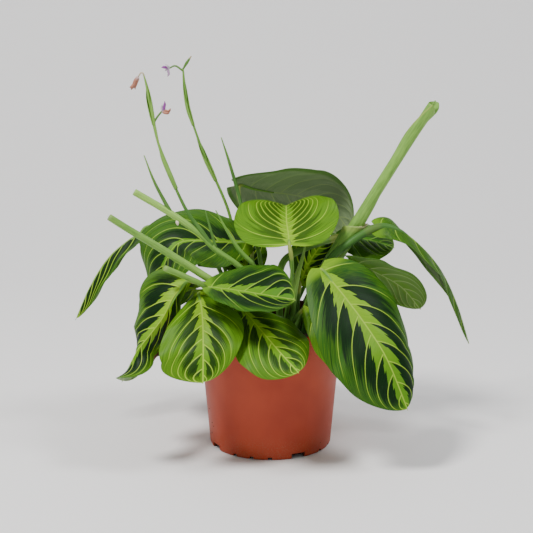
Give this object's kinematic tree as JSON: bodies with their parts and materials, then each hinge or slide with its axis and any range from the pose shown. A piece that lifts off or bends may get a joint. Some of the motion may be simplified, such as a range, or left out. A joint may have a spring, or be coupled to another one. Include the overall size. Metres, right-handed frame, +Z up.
{
  "type": "potted prayer plant",
  "caption": "Low tufted foliage plant with broad patterned leaves on thin petioles, a rolled new leaf, flower stalks and cut stems, in a round tapered plastic nursery pot with soil.",
  "frame": {"origin": "centre of the pot's base, on the surface it stands on", "axes": "+Z up; the plant's front, as it is seen in the picture, faces -Y; +X is the picture's right"},
  "size_m": [0.3244, 0.2011, 0.3142],
  "materials": {
    "pot_plastic": "terracotta coloured moulded plastic, satin",
    "soil": "dark peaty potting soil with fine granules and pale grit",
    "leaf": "living leaf: satin above with lime veins and near black blotches, grey green and duller below",
    "young_leaf": "living leaf still rolled up, light green, satin, with pale lengthwise lines",
    "stem": "living stem, light green, finely hairy, satin",
    "bloom": "thin petals, pale violet with darker marks",
    "withered_bloom": "dried petals, brown, papery"
  },
  "bodies": {
    "root": {"leaf_front_right": "leaf", "leaf_front_middle": "leaf", "leaf_front_left": "leaf", "leaf_middle_dark": "leaf", "leaf_top": "leaf", "leaf_back_tall": "leaf", "leaf_upper_left": "leaf", "leaf_left_folded": "leaf", "leaf_left_low": "leaf", "leaf_far_left": "leaf", "leaf_far_right": "leaf", "leaf_right_turned": "leaf", "leaf_right_back": "leaf", "leaf_right_low": "leaf", "leaf_rear_left": "leaf", "leaf_rear_left_low": "leaf", "leaf_rear_middle": "leaf", "leaf_rear_right": "leaf", "leaf_rear_right_low": "leaf", "leaf_inner_left": "leaf", "leaf_inner_right": "leaf", "leaf_rolled": "young_leaf", "stem_cut_long": "stem", "stem_cut_short": "stem", "shoot_flowering_left": "stem", "shoot_middle": "stem", "shoot_flowering_back": "stem", "shoot_small": "stem", "bloom_withered": "withered_bloom", "bloom_left": "bloom", "bloom_back": "bloom", "pot": "pot_plastic", "soil": "soil"}
  },
  "joints": []
}
